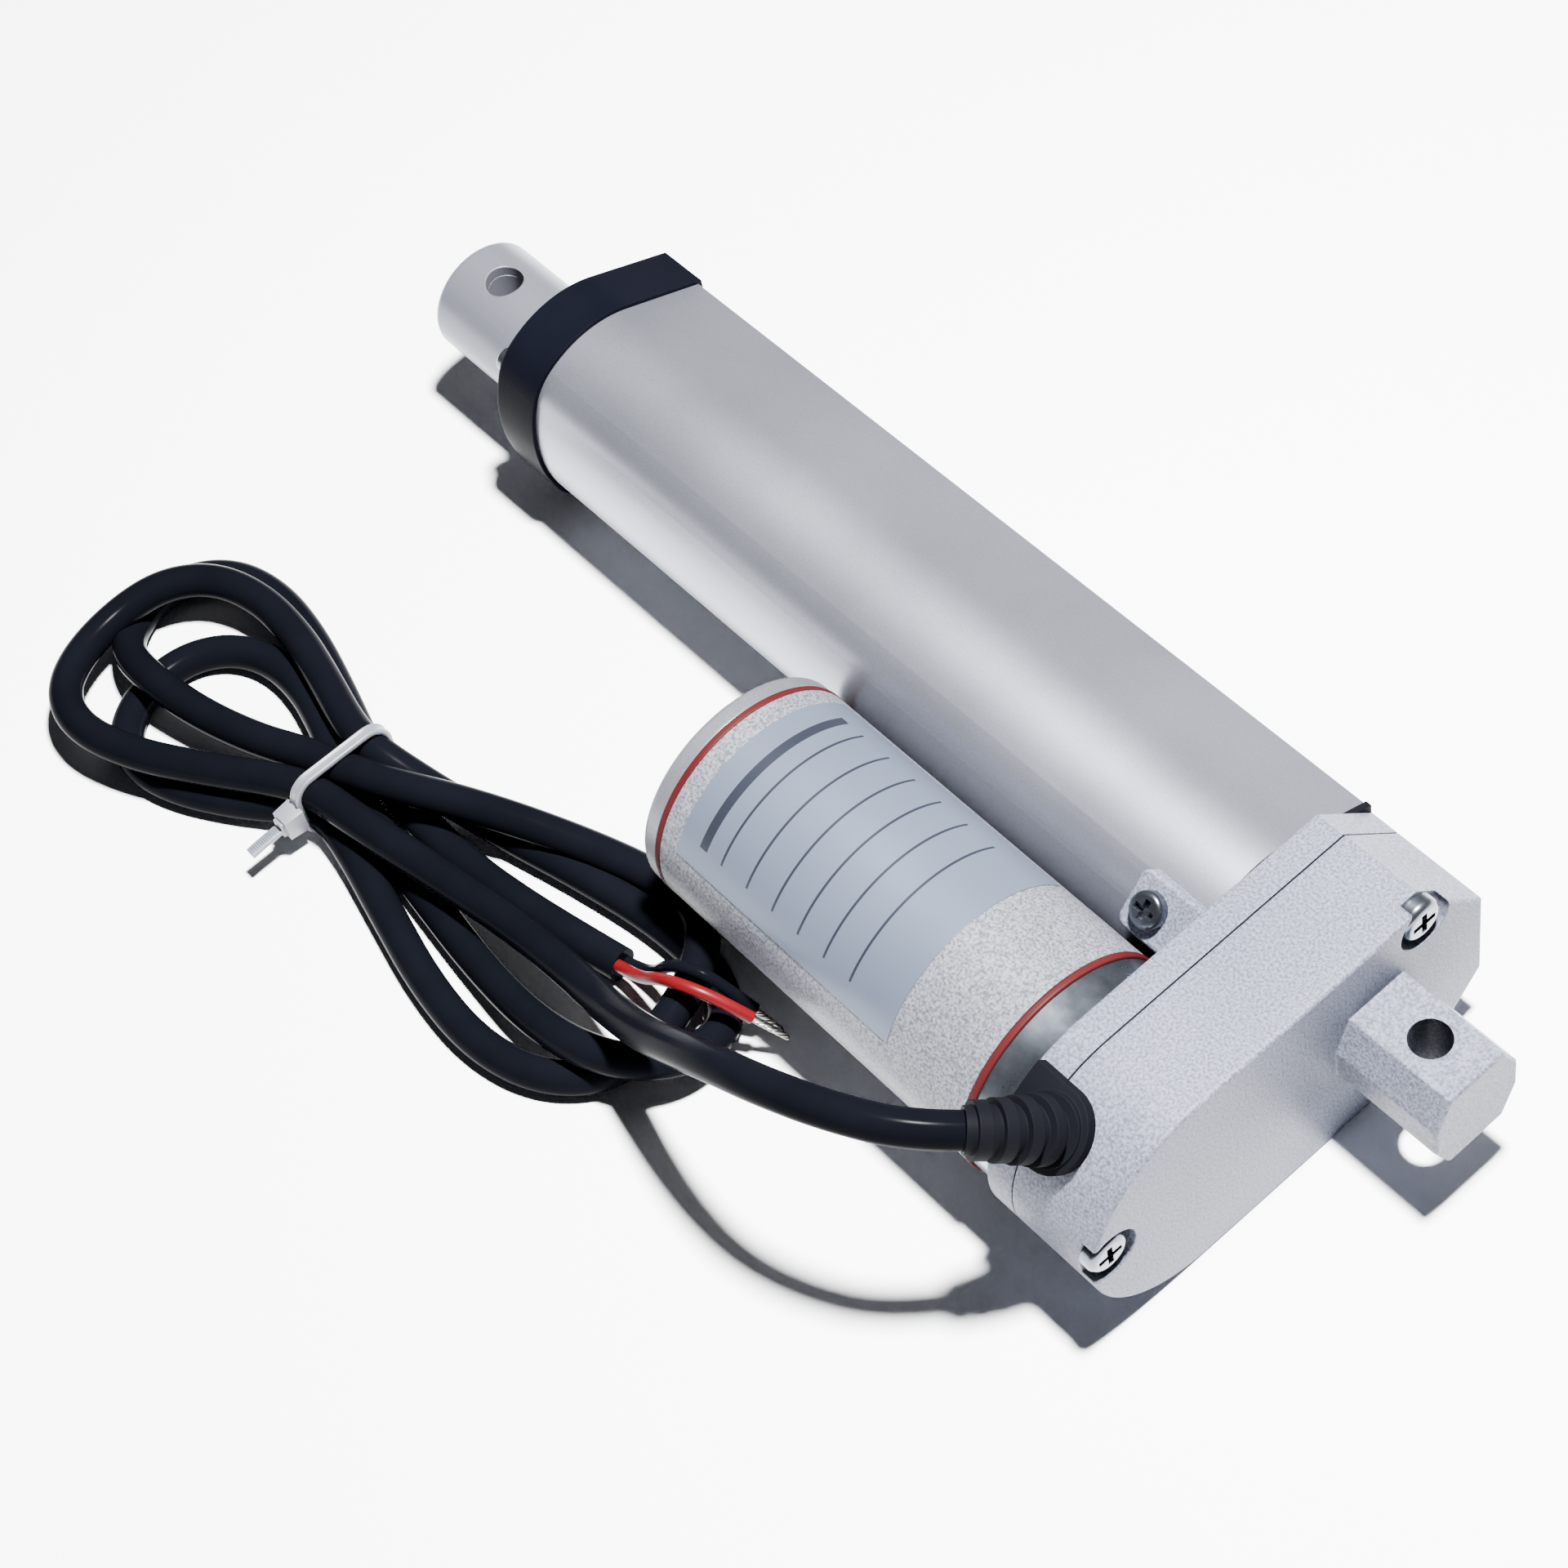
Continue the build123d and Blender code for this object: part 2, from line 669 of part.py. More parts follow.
# ---- cable ---------------------------------------------------------------------------------------
hank_top_z = floor_z + 4.1 * cable_r
boot_end = boot_frame(1.0)
boot_exit = boot_end.origin
cable_points = [
    tuple(boot_exit),
    tuple(boot_exit + boot_end.z_dir * 7.5),
    (42.0, 69.8, 26.0),
    (52.5, 73.2, 24.0),
    (63.0, 74.2, 18.6),
    (73.0, 74.3, 11.0),
    (83.5, 73.8, 2.0),
    (95.0, 72.6, -5.6),
    (107.0, 71.6, -9.8),
    (119.0, 72.0, -11.0),
]
red_wire_points = [
    (103.0, 64.6, -12.0),
    (97.5, 62.6, -10.6),
    (91.0, 60.0, -11.2),
    (84.4, 57.4, -15.0),
]
black_wire_points = [
    (103.0, 62.2, -13.0),
    (97.6, 60.2, -11.8),
    (91.2, 57.6, -12.6),
    (84.8, 55.2, -16.6),
]
wire_tip_length = 6.5


def bend_radii(points):
    """At each corner, 0.45 of the shorter run over the tangent of half the turn."""
    radii = []
    for before, here, after in zip(points, points[1:], points[2:]):
        run_in = Vector(*here) - Vector(*before)
        run_out = Vector(*after) - Vector(*here)
        half_turn = math.radians(run_in.get_angle(run_out)) / 2
        radii.append(0.45 * min(run_in.length, run_out.length) / math.tan(half_turn))
    return radii


def tube_along(points, r, name):
    """A round tube of straight runs and tangent arcs; prints its radii and compares its volume."""
    radii = bend_radii(points)
    path = FilletPolyline(*points, radius=radii)
    start = Plane(origin=path @ 0, z_dir=path % 0)
    tube = sweep(start * Circle(r), path=path)
    print(name, "length", round(path.length, 1), "radii", [round(v, 1) for v in radii])
    print(name, "volume / (section x length)", round(tube.volume / (math.pi * r * r * path.length), 4))
    return tube


def cable_lead():
    return tube_along(cable_points, cable_r, "cable lead")


def hank_outline():
    """Two lobes of loops seen from above, drawn together at the tie."""
    far_lobe = [(171, 59), (196, 55), (214, 59), (224, 70), (223, 88), (210, 101), (196, 99)]
    near_lobe = [(126, 90), (102, 88), (86, 77), (80.5, 64), (88, 56.5), (104, 53), (110, 48.5)]
    near_end = [(122, 47), (148, 61)]
    far_neck = [(tie_x + 2, tie_y - tie_half_y), (172, 87), (tie_x + 2, tie_y + tie_half_y)]
    near_neck = [(tie_x - 2, tie_y + tie_half_y), (149, 85), (tie_x - 2, tie_y - tie_half_y)]
    outline = far_neck[:1] + far_lobe + far_neck[1:] + near_neck[:2]
    return polygon_face(outline + near_lobe + near_end + near_neck[2:])


# The tie goes round three strands side by side, two deep.
tie_x = 162.0
tie_y = 73.2
tie_t = 1.1
tie_half_width = 1.0
tie_head_half_width = 2.0
tie_half_y = 3 * cable_r
neck_z = (floor_z + tie_t, floor_z + tie_t + 4 * cable_r)


def neck_face(grow=0.0):
    """The bundle's outline inside the tie, in Y and Z."""
    low, high = neck_z
    face = RectangleRounded(2 * (tie_half_y + grow), high - low + 2 * grow, cable_r + grow)
    return Pos(tie_y, (low + high) / 2) * face


def cable_hank():
    hank = extrude(Pos(0, 0, floor_z) * hank_outline(), amount=hank_top_z - floor_z)
    top = hank.faces().sort_by(Axis.Z)[-1].edges()
    hank = chamfer(top, 2.5)
    groove = Pos(tie_y, 0) * Rectangle(80, 80) - neck_face()
    return hank - prism(groove, tie_x - tie_half_width, tie_x + tie_half_width)


def cable_tie():
    """A nylon tie round the neck of the hank: a band, its head and the cut tail."""
    band = prism(neck_face(tie_t) - neck_face(), tie_x - tie_half_width, tie_x + tie_half_width)
    side = tie_y + tie_half_y + tie_t
    head = block(tie_x - tie_head_half_width, tie_x + tie_head_half_width,
                 side - 0.3, side + 3.2, -15.6, -10.6)
    tail = block(tie_x - tie_half_width, tie_x + tie_half_width,
                 side + 3.0, side + 10.0, -13.9, -12.8)
    return band + head + tail


def wire_tube(points, name):
    return tube_along(points, wire_r, name)


def wire_tips():
    """The tinned ends of the two wires."""
    tips = []
    for points in (red_wire_points, black_wire_points):
        start = Vector(*points[-1])
        place = Plane(origin=start, z_dir=start - Vector(*points[-2]))
        tips.append(place * (Pos(0, 0, wire_tip_length / 2) * Cylinder(0.6, wire_tip_length)))
    return tips


# ---- nodes -----------------------------------------------------------------------------------------
outer_rings, inner_rings, bearing_balls = bearing_parts()

nodes = {
    "rear_cover": rear_cover(),
    "front_housing": front_housing(),
    "cover_gasket": cover_gasket(),
    "cover_screws": cover_screws(),
    "tab_screws": tab_screw_list(),
    "strain_relief": strain_relief(),
    "motor_pinion": motor_pinion(),
    "idler_gear": idler_gear(),
    "idler_pin": idler_pin(),
    "screw_gear": screw_gear(),
    "lead_screw": lead_screw(),
    "screw_stop_ring": screw_stop_ring(),
    "bearing_outer_rings": outer_rings,
    "bearing_inner_rings": inner_rings,
    "bearing_balls": bearing_balls,
    "outer_tube": outer_tube(),
    "tube_gasket": tube_gasket(),
    "front_cap": front_cap(),
    "cap_screws": cap_screws(),
    "rod_wiper": rod_wiper(),
    "rod_guide": rod_guide(),
    "rod_tube": rod_tube(),
    "rod_plug": rod_plug(),
    "drive_nut": drive_nut(),
    "limit_switch_board": limit_switch_board(),
    "limit_switches": limit_switches(),
    "motor_mount_ring": motor_mount_ring(),
    "motor_seals": motor_seals(),
    "motor_sleeve": motor_sleeve(),
    "motor_label": motor_label(),
    "motor_end_cap": motor_end_cap(),
    "motor_bolts": motor_bolts(),
    "motor_can": motor_can(),
    "motor_end_plate": motor_end_plate(),
    "motor_bushes": motor_bushes(),
    "motor_magnets": motor_magnets(),
    "brush_holder": brush_holder(),
    "motor_brushes": motor_brushes(),
    "motor_shaft": motor_shaft(),
    "commutator": commutator(),
    "armature_core": armature_core(),
    "armature_windings": armature_windings(),
    "cable_lead": cable_lead(),
    "cable_hank": cable_hank(),
    "cable_tie": cable_tie(),
    "red_wire": wire_tube(red_wire_points, "red wire"),
    "black_wire": wire_tube(black_wire_points, "black wire"),
    "wire_tips": wire_tips(),
}

os.makedirs("parts", exist_ok=True)
for name, shape in nodes.items():
    solids = shape if isinstance(shape, list) else [shape]
    pieces = [solid for one in solids for solid in one.solids()]
    export_step(pieces[0] if len(pieces) == 1 else Compound(children=pieces), f"parts/{name}.step")
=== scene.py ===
import json
import math

import bmesh
import bpy
from mathutils import Matrix, Vector


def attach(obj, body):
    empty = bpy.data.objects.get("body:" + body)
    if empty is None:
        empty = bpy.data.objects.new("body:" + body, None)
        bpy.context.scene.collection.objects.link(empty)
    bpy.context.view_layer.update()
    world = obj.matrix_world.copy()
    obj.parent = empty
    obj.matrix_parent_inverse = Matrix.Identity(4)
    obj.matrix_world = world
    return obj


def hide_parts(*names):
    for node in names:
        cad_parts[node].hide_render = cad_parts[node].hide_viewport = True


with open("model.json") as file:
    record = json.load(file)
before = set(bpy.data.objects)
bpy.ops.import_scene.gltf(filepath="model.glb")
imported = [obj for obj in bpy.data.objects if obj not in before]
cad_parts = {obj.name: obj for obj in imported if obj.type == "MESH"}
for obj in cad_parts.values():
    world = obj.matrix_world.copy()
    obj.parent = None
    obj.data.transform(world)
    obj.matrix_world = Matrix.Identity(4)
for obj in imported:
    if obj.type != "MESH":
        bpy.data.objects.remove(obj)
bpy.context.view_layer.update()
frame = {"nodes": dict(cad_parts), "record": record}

MM = 0.001
FLOOR_Z = -20.0 * MM
MOTOR_Y = 34.6 * MM


def add_object(name, data):
    """An object that holds the data, linked into the scene."""
    obj = bpy.data.objects.new(name, data)
    bpy.context.scene.collection.objects.link(obj)
    return obj


def smooth_object(name, bm):
    """An object from a finished bmesh, with its normals outward and its faces smooth."""
    mesh = bpy.data.meshes.new(name)
    bmesh.ops.recalc_face_normals(bm, faces=bm.faces)
    bm.to_mesh(mesh)
    bm.free()
    for p in mesh.polygons:
        p.use_smooth = True
    return add_object(name, mesh)


# ---- camera, at the photograph's angle ------------------------------------------------------------
LOOK_AT = Vector((101.8, 30.5, 0.0)) * MM
CAMERA_DISTANCE = 541.0 * MM
CAMERA_AZIMUTH = math.radians(150.8)
CAMERA_ELEVATION = math.radians(54.7)
CAMERA_ROLL = math.radians(-14.5)
SENSOR_WIDTH = 36.0
FOCAL_LENGTH = 83.1

cam_data = bpy.data.cameras.new("camera")
cam_data.sensor_width = SENSOR_WIDTH
cam_data.lens = FOCAL_LENGTH
cam_data.clip_start = 0.01
cam_data.clip_end = 20.0
cam = add_object("camera", cam_data)
towards_camera = Vector((
    math.cos(CAMERA_ELEVATION) * math.cos(CAMERA_AZIMUTH),
    math.cos(CAMERA_ELEVATION) * math.sin(CAMERA_AZIMUTH),
    math.sin(CAMERA_ELEVATION),
))
level = Vector((-math.sin(CAMERA_AZIMUTH), math.cos(CAMERA_AZIMUTH), 0.0))
upright = towards_camera.cross(level)
cam_right = level * math.cos(CAMERA_ROLL) + upright * math.sin(CAMERA_ROLL)
cam_up = towards_camera.cross(cam_right)
cam_turn = Matrix((cam_right, cam_up, towards_camera)).transposed().to_4x4()
cam.matrix_world = Matrix.Translation(LOOK_AT + towards_camera * CAMERA_DISTANCE) @ cam_turn
bpy.context.scene.camera = cam


# ---- cords -----------------------------------------------------------------------------------------
def spline_object(name, points, radius):
    """A round cord on one NURBS spline; points in millimetres."""
    data = bpy.data.curves.new(name, "CURVE")
    data.dimensions = "3D"
    data.resolution_u = 12
    data.bevel_depth = 1.0      # times each point's radius
    data.bevel_resolution = 7
    data.use_fill_caps = True
    data.twist_mode = "MINIMUM"
    spline = data.splines.new("NURBS")
    spline.points.add(len(points) - 1)
    for i, p in enumerate(points):
        spline.points[i].co = (p[0] * MM, p[1] * MM, p[2] * MM, 1.0)
        spline.points[i].radius = radius * MM
    spline.order_u = 3
    spline.use_endpoint_u = True
    return add_object(name, data)


# The cords' and the tie's sizes are in millimetres, and are scaled where their pieces are made.
CABLE_R = 2.8
WIRE_R = 1.0
TIE_X = 162.0
TIE_Y = 73.2
F = -17.2     # the height of a strand's middle where it lies on the floor

# The lead's route, from the boot to the tied hank.
lead_points = [
    (28.21, 58.62, 23.42),
    (32.71, 64.32, 25.1),
    (42.0, 69.8, 25.7),
    (52.5, 73.2, 24.0),
    (63.0, 74.2, 18.6),
    (73.0, 74.3, 11.0),
    (83.5, 73.8, 2.0),
    (95.0, 72.6, -5.6),
    (107.0, 71.6, -9.8),
    (119.0, 72.0, -11.0),
    (134.0, 74.4, -11.0),
    (149.0, 77.0, -10.8),
]

# Each half turn of the hank leaves the tie on one side and comes back to it. Its places in the tie
# are (y, z); reach is how far it goes, drift how far its end sits to one side, and wide the half
# widths going out and coming back. A higher taper opens the loop later, and blunt rounds its end.
# heights are the strand's middle at each point: F on the floor, and higher where it lies on others.
half_turns = [
    dict(side=1, leaves=(78.8, -10.5), returns=(67.6, -10.5), reach=54, drift=6,
         wide=(22.8, 17), taper=0.8, blunt=0.0,
         heights=(-11.2, -11.6, -11.6, -11.4, -11.6, -12.4, -12.2, -11.2, -11.3, -12.4, -12.8,
                  -12.0, -11.2)),
    dict(side=-1, leaves=(67.6, -10.5), returns=(73.2, -16.1), reach=79, drift=-4.5,
         wide=(-12.5, -12), taper=0.2, blunt=0.35,
         heights=(-14.4, F, F, F, F, -16.6, -13.4, -11.2, -11.4, -14.6, F, F, -16.8)),
    dict(side=1, leaves=(73.2, -16.1), returns=(78.8, -16.1), reach=42, drift=4,
         wide=(-13, -17), taper=0.5, blunt=0.0,
         heights=(-15.9, -16.2, -16.8, F, F, F, F, F, F, F, F, F, -16.8)),
    dict(side=-1, leaves=(78.8, -16.1), returns=(73.2, -10.5), reach=72, drift=-7,
         wide=(20, 26), taper=0.9, blunt=0.0,
         heights=(-16.8, F, F, F, F, F, -14.2, -11.3, -12.6, -15.4, -14.4, -10.6, -9.8)),
    dict(side=1, leaves=(73.2, -10.5), returns=(67.6, -16.1), reach=56, drift=1,
         wide=(14, 14), taper=0.6, blunt=0.1,
         heights=(-11.4, -13.5, -13.0, -11.2, -14.4, F, F, F, F, F, F, F, -16.8)),
]
jacket_end_points = [
    (151.0, 68.8, F),
    (139.0, 69.0, F),
    (127.0, 67.6, F),
    (115.0, 65.4, F),
    (105.5, 63.4, F),
]


def half_turn_points(turn):
    """A drop-shaped loop, from its place in the tie round to the other."""
    steps = len(turn["heights"]) + 1
    y0, y1 = turn["leaves"][0], turn["returns"][0]
    points = [(TIE_X, *turn["leaves"])]
    for i in range(1, steps):
        half = math.pi * i / steps
        away = math.sin(half) ** 1.4
        across = math.sin(2 * half - turn["blunt"] * math.sin(2 * half))
        wide = turn["wide"][0] if 2 * i < steps else turn["wide"][1]
        x = TIE_X + turn["side"] * turn["reach"] * away
        y = y0 + (y1 - y0) * i / steps + turn["drift"] * away
        points.append((x, y + wide * across * math.sin(half) ** turn["taper"],
                       turn["heights"][i - 1]))
    return points


cable_points = list(lead_points)
for turn in half_turns:
    cable_points += half_turn_points(turn)
cable_points.append((TIE_X, *half_turns[-1]["returns"]))
cable_points += jacket_end_points

cable = spline_object("cable", cable_points, CABLE_R)
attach(cable, "root")
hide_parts("cable_lead", "cable_hank")

red_points = [
    (111.0, 65.6, -16.6),
    (105.5, 64.1, -16.4),
    (99.6, 63.9, -13.6),
    (94.4, 63.3, -8.4),
    (89.6, 62.0, -6.6),
    (85.2, 59.8, -7.8),
    (81.0, 57.2, -11.6),
]
black_points = [
    (111.0, 63.6, -18.2),
    (105.5, 62.4, -18.0),
    (99.4, 61.6, -14.8),
    (95.0, 60.9, -8.0),
    (90.6, 59.2, -6.4),
    (86.6, 57.4, -8.6),
    (82.9, 55.4, -13.6),
]
red_wire = spline_object("red_wire_insulation", red_points, WIRE_R)
black_wire = spline_object("black_wire_insulation", black_points, WIRE_R)


def twisted_tip(name, points, length):
    """Seven tinned strands twisted together, from a wire's end along its last run."""
    start, before = Vector(points[-1]) * MM, Vector(points[-2]) * MM
    along = (start - before).normalized()
    side = along.cross(Vector((0, 0, 1))).normalized()
    up = side.cross(along)
    bm = bmesh.new()
    rings, around, strand_r = 44, 8, 0.21 * MM
    outer_strands, lay_r, twists = 6, 0.4 * MM, 1.6
    buried = 1.0 * MM     # how far the tip starts inside the insulation
    for strand in range(outer_strands + 1):
        centre = 0.0 if strand == outer_strands else lay_r
        last = None
        for i in range(rings + 1):
            share = i / rings
            fray = 1.0 - 0.35 * share ** 2
            turn = 2 * math.pi * (twists * share + strand / outer_strands)
            reach = length * MM * (share * (1.0 - 0.035 * (strand % 3)))
            mid = start + along * (reach - buried)
            mid += (side * math.cos(turn) + up * math.sin(turn)) * centre * fray
            ring = []
            for k in range(around):
                a = 2 * math.pi * k / around
                ring.append(bm.verts.new(mid + (side * math.cos(a) + up * math.sin(a)) * strand_r))
            if last:
                for k in range(around):
                    n = (k + 1) % around
                    bm.faces.new((last[k], last[n], ring[n], ring[k]))
            else:
                bm.faces.new(list(reversed(ring)))
            last = ring
        bm.faces.new(last)
    return smooth_object(name, bm)


red_tip = twisted_tip("red_wire_tip", red_points, 7.5)
black_tip = twisted_tip("black_wire_tip", black_points, 6.9)
wire_slots = (
    (red_wire, "red_insulation"),
    (black_wire, "cable_sheath"),
    (red_tip, "tinned_copper"),
    (black_tip, "tinned_copper"),
)
for piece, slot in wire_slots:
    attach(piece, "root")
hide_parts("red_wire")
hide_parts("black_wire")
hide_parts("wire_tips")


# ---- cable tie ---------------------------------------------------------------------------------------
BUNDLE_HALF_Y = 8.45
BUNDLE_LOW_Z = -18.9
BUNDLE_HIGH_Z = -7.7
BUNDLE_CORNER = 2.9


def rounded_section(half_y, low, high, corner, steps=8):
    """The way round a bundle, in Y and Z: a rectangle with round corners, centred on the tie."""
    mid_z = (low + high) / 2
    half_z = (high - low) / 2
    out = []
    for k, (sy, sz) in enumerate(((1, 1), (-1, 1), (-1, -1), (1, -1))):
        for i in range(steps + 1):
            a = math.pi / 2 * (k + i / steps)
            out.append((TIE_Y + sy * (half_y - corner) + corner * math.cos(a),
                        mid_z + sz * (half_z - corner) + corner * math.sin(a)))
    return out


def cable_tie():
    """A nylon strap with raised edges round the bundle, its ratchet head and the cut-off tail."""
    bm = bmesh.new()
    inner = rounded_section(BUNDLE_HALF_Y, BUNDLE_LOW_Z, BUNDLE_HIGH_Z, BUNDLE_CORNER)
    # The strap's section: millimetres across from its middle, and out from the bundle.
    profile = [(-1.0, 0.25), (-0.85, 0.0), (0.85, 0.0), (1.0, 0.25), (1.0, 0.85), (0.85, 1.08),
               (0.65, 1.08), (0.5, 0.9), (-0.5, 0.9), (-0.65, 1.08), (-0.85, 1.08), (-1.0, 0.85)]
    mid_z = (BUNDLE_LOW_Z + BUNDLE_HIGH_Z) / 2
    rings = []
    count = len(inner)
    for i, (y, z) in enumerate(inner):
        before, after = inner[i - 1], inner[(i + 1) % count]
        t = Vector((after[0] - before[0], after[1] - before[1])).normalized()
        out = Vector((t[1], -t[0]))
        if out.dot(Vector((y - TIE_Y, z - mid_z))) < 0:
            out = -out
        rings.append([bm.verts.new((MM * (TIE_X + x), MM * (y + out[0] * h), MM * (z + out[1] * h)))
                      for x, h in profile])
    for i in range(count):
        a, b = rings[i], rings[(i + 1) % count]
        for k in range(len(profile)):
            n = (k + 1) % len(profile)
            bm.faces.new((a[k], b[k], b[n], a[n]))

    def cuboid(half_x, y0, y1, z0, z1, taper=0.0):
        """A box centred on the tie in X; taper draws its far end in."""
        x0, x1 = TIE_X - half_x, TIE_X + half_x
        spots = []
        for x, y, z in ((x0, y0, z0), (x1, y0, z0), (x1, y1, z0), (x0, y1, z0),
                        (x0, y0, z1), (x1, y0, z1), (x1, y1, z1), (x0, y1, z1)):
            pull = taper if y == y1 else 0.0
            cz = (z0 + z1) / 2
            spots.append(bm.verts.new((MM * (x + (TIE_X - x) * pull), MM * y,
                                       MM * (z + (cz - z) * pull))))
        for f in ((0, 3, 2, 1), (4, 5, 6, 7), (0, 1, 5, 4), (1, 2, 6, 5), (2, 3, 7, 6), (3, 0, 4, 7)):
            bm.faces.new([spots[i] for i in f])

    head_half_x, lip_half_x, tail_half_x, tooth_half_x = 1.9, 1.0, 0.95, 0.6
    cuboid(head_half_x, 82.4, 85.9, -15.6, -10.8, 0.12)
    cuboid(lip_half_x, 85.7, 86.5, -14.6, -11.6)
    tail_from, tail_to, teeth = 86.2, 92.4, 16
    for i in range(teeth):
        y0 = tail_from + (tail_to - tail_from) * i / teeth
        y1 = tail_from + (tail_to - tail_from) * (i + 0.96) / teeth
        sag = 0.5 * (i / teeth) ** 2
        cuboid(tail_half_x, y0 - 0.1, y1 + 0.02, -13.75 - sag, -12.95 - sag)
        cuboid(tooth_half_x, y0, (y0 + y1) / 2, -13.0 - sag, -12.75 - sag)
    obj = smooth_object("tie_strap", bm)
    bevel = obj.modifiers.new("edges", "BEVEL")
    bevel.width = 0.12 * MM
    bevel.segments = 2
    bevel.limit_method = "ANGLE"
    bevel.angle_limit = math.radians(50)
    return obj


tie = cable_tie()
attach(tie, "root")
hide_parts("cable_tie")


# ---- materials ---------------------------------------------------------------------------------------
def noise(nodes, links, where, scale, detail):
    node = nodes.new("ShaderNodeTexNoise")
    node.inputs["Scale"].default_value = scale
    node.inputs["Detail"].default_value = detail
    links.new(where, node.inputs["Vector"])
    return node.outputs["Fac"]


def remap(nodes, links, value, from_range, to_range):
    node = nodes.new("ShaderNodeMapRange")
    for side, start, end in (("From", *from_range), ("To", *to_range)):
        node.inputs[side + " Min"].default_value = start
        node.inputs[side + " Max"].default_value = end
    links.new(value, node.inputs["Value"])
    return node.outputs["Result"]


def product(nodes, links, a, b):
    node = nodes.new("ShaderNodeMath")
    node.operation = "MULTIPLY"
    links.new(a, node.inputs[0])
    links.new(b, node.inputs[1])
    return node.outputs["Value"]


def material(name, colour, metallic=0.0, rough=0.5, grain=(2500.0, 0.15, 0.01), blotch=(60.0, 0.06),
             rough_spread=0.08, edge=(0.25, 0.15), coat=0.0, brushed=None, speckle=0.0, extra=None,
             reflect=0.5):
    """A Principled material with grain, blotches of tone, uneven roughness and softened edges.

    grain is (cells per metre, bump strength, bump height in mm), blotch (cells per metre, amount),
    edge (radius in mm, how much lighter the edge is), brushed the stretch of the grain along x, y, z."""
    mat = bpy.data.materials.new(name)
    mat.use_nodes = True
    nt = mat.node_tree
    nodes, links = nt.nodes, nt.links
    bsdf = nodes["Principled BSDF"]
    bsdf.inputs["Metallic"].default_value = metallic
    bsdf.inputs["Specular IOR Level"].default_value = reflect
    bsdf.inputs["Coat Weight"].default_value = coat
    bsdf.inputs["Coat Roughness"].default_value = 0.08
    where = nodes.new("ShaderNodeTexCoord")
    scaled = where.outputs["Object"]
    if brushed:
        mapping = nodes.new("ShaderNodeMapping")
        mapping.inputs["Scale"].default_value = brushed
        links.new(scaled, mapping.inputs["Vector"])
        grain_at = mapping.outputs["Vector"]
    else:
        grain_at = scaled
    fine = noise(nodes, links, grain_at, grain[0], 3.0)
    broad = noise(nodes, links, scaled, blotch[0], 4.0)
    tone = remap(nodes, links, broad, (0.3, 0.7), (1.0 - blotch[1], 1.0 + blotch[1]))
    dots = remap(nodes, links, fine, (0.35, 0.65), (1.0 - speckle, 1.0 + speckle))

    soft = nodes.new("ShaderNodeBevel")
    soft.samples = 4
    soft.inputs["Radius"].default_value = edge[0] * MM
    flat = nodes.new("ShaderNodeNewGeometry")
    agree = nodes.new("ShaderNodeVectorMath")
    agree.operation = "DOT_PRODUCT"
    links.new(soft.outputs["Normal"], agree.inputs[0])
    links.new(flat.outputs["Normal"], agree.inputs[1])
    worn = remap(nodes, links, agree.outputs["Value"], (0.98, 0.75), (1.0, 1.0 + edge[1]))
    shade = product(nodes, links, product(nodes, links, tone, dots), worn)

    paint = nodes.new("ShaderNodeVectorMath")
    paint.operation = "SCALE"
    paint.inputs[0].default_value = colour[:3]
    if extra:
        links.new(extra(nodes, links, scaled, colour), paint.inputs[0])
    links.new(shade, paint.inputs["Scale"])
    links.new(paint.outputs["Vector"], bsdf.inputs["Base Color"])

    matt = remap(nodes, links, broad, (0.3, 0.7),
                 (max(0.03, rough - rough_spread), min(1.0, rough + rough_spread)))
    links.new(matt, bsdf.inputs["Roughness"])

    bump = nodes.new("ShaderNodeBump")
    bump.inputs["Strength"].default_value = grain[1]
    bump.inputs["Distance"].default_value = grain[2] * MM
    links.new(fine, bump.inputs["Height"])
    links.new(soft.outputs["Normal"], bump.inputs["Normal"])
    links.new(bump.outputs["Normal"], bsdf.inputs["Normal"])
    return mat


def label_print(nodes, links, where, colour):
    """Plain printed rules across the label, like an empty form, and a band at one end."""
    rule_from, rule_pitch, rule_share = 57.0, 5.6, 0.075     # mm, mm, share of the pitch inked
    rules_x, band_x = (61.0, 92.0), (94.0, 95.6)             # mm along the motor
    print_angle = (36.0, 132.0)                              # degrees round the motor
    split = nodes.new("ShaderNodeSeparateXYZ")
    links.new(where, split.inputs[0])

    def maths(operation, a, b=None):
        node = nodes.new("ShaderNodeMath")
        node.operation = operation
        for i, v in enumerate((a, b)):
            if v is None:
                continue
            if isinstance(v, (int, float)):
                node.inputs[i].default_value = v
            else:
                links.new(v, node.inputs[i])
        return node.outputs[0]

    def between(value, limits):
        return maths("MULTIPLY", maths("GREATER_THAN", value, limits[0]),
                     maths("LESS_THAN", value, limits[1]))

    x = maths("MULTIPLY", split.outputs["X"], 1000.0)
    side = maths("SUBTRACT", split.outputs["Y"], MOTOR_Y)
    angle = maths("MULTIPLY", maths("ARCTAN2", split.outputs["Z"], side), 180.0 / math.pi)
    row = maths("FRACT", maths("DIVIDE", maths("SUBTRACT", x, rule_from), rule_pitch))
    thin = maths("LESS_THAN", row, rule_share)
    inside_angle = between(angle, print_angle)
    rules = maths("MULTIPLY", maths("MULTIPLY", thin, between(x, rules_x)), inside_angle)
    band = maths("MULTIPLY", between(x, band_x), inside_angle)
    ink = maths("MAXIMUM", rules, band)
    mix = nodes.new("ShaderNodeMix")
    mix.data_type = "RGBA"
    links.new(ink, mix.inputs["Factor"])
    mix.inputs[6].default_value = (*colour[:3], 1.0)
    mix.inputs[7].default_value = (0.012, 0.014, 0.02, 1.0)
    return mix.outputs[2]


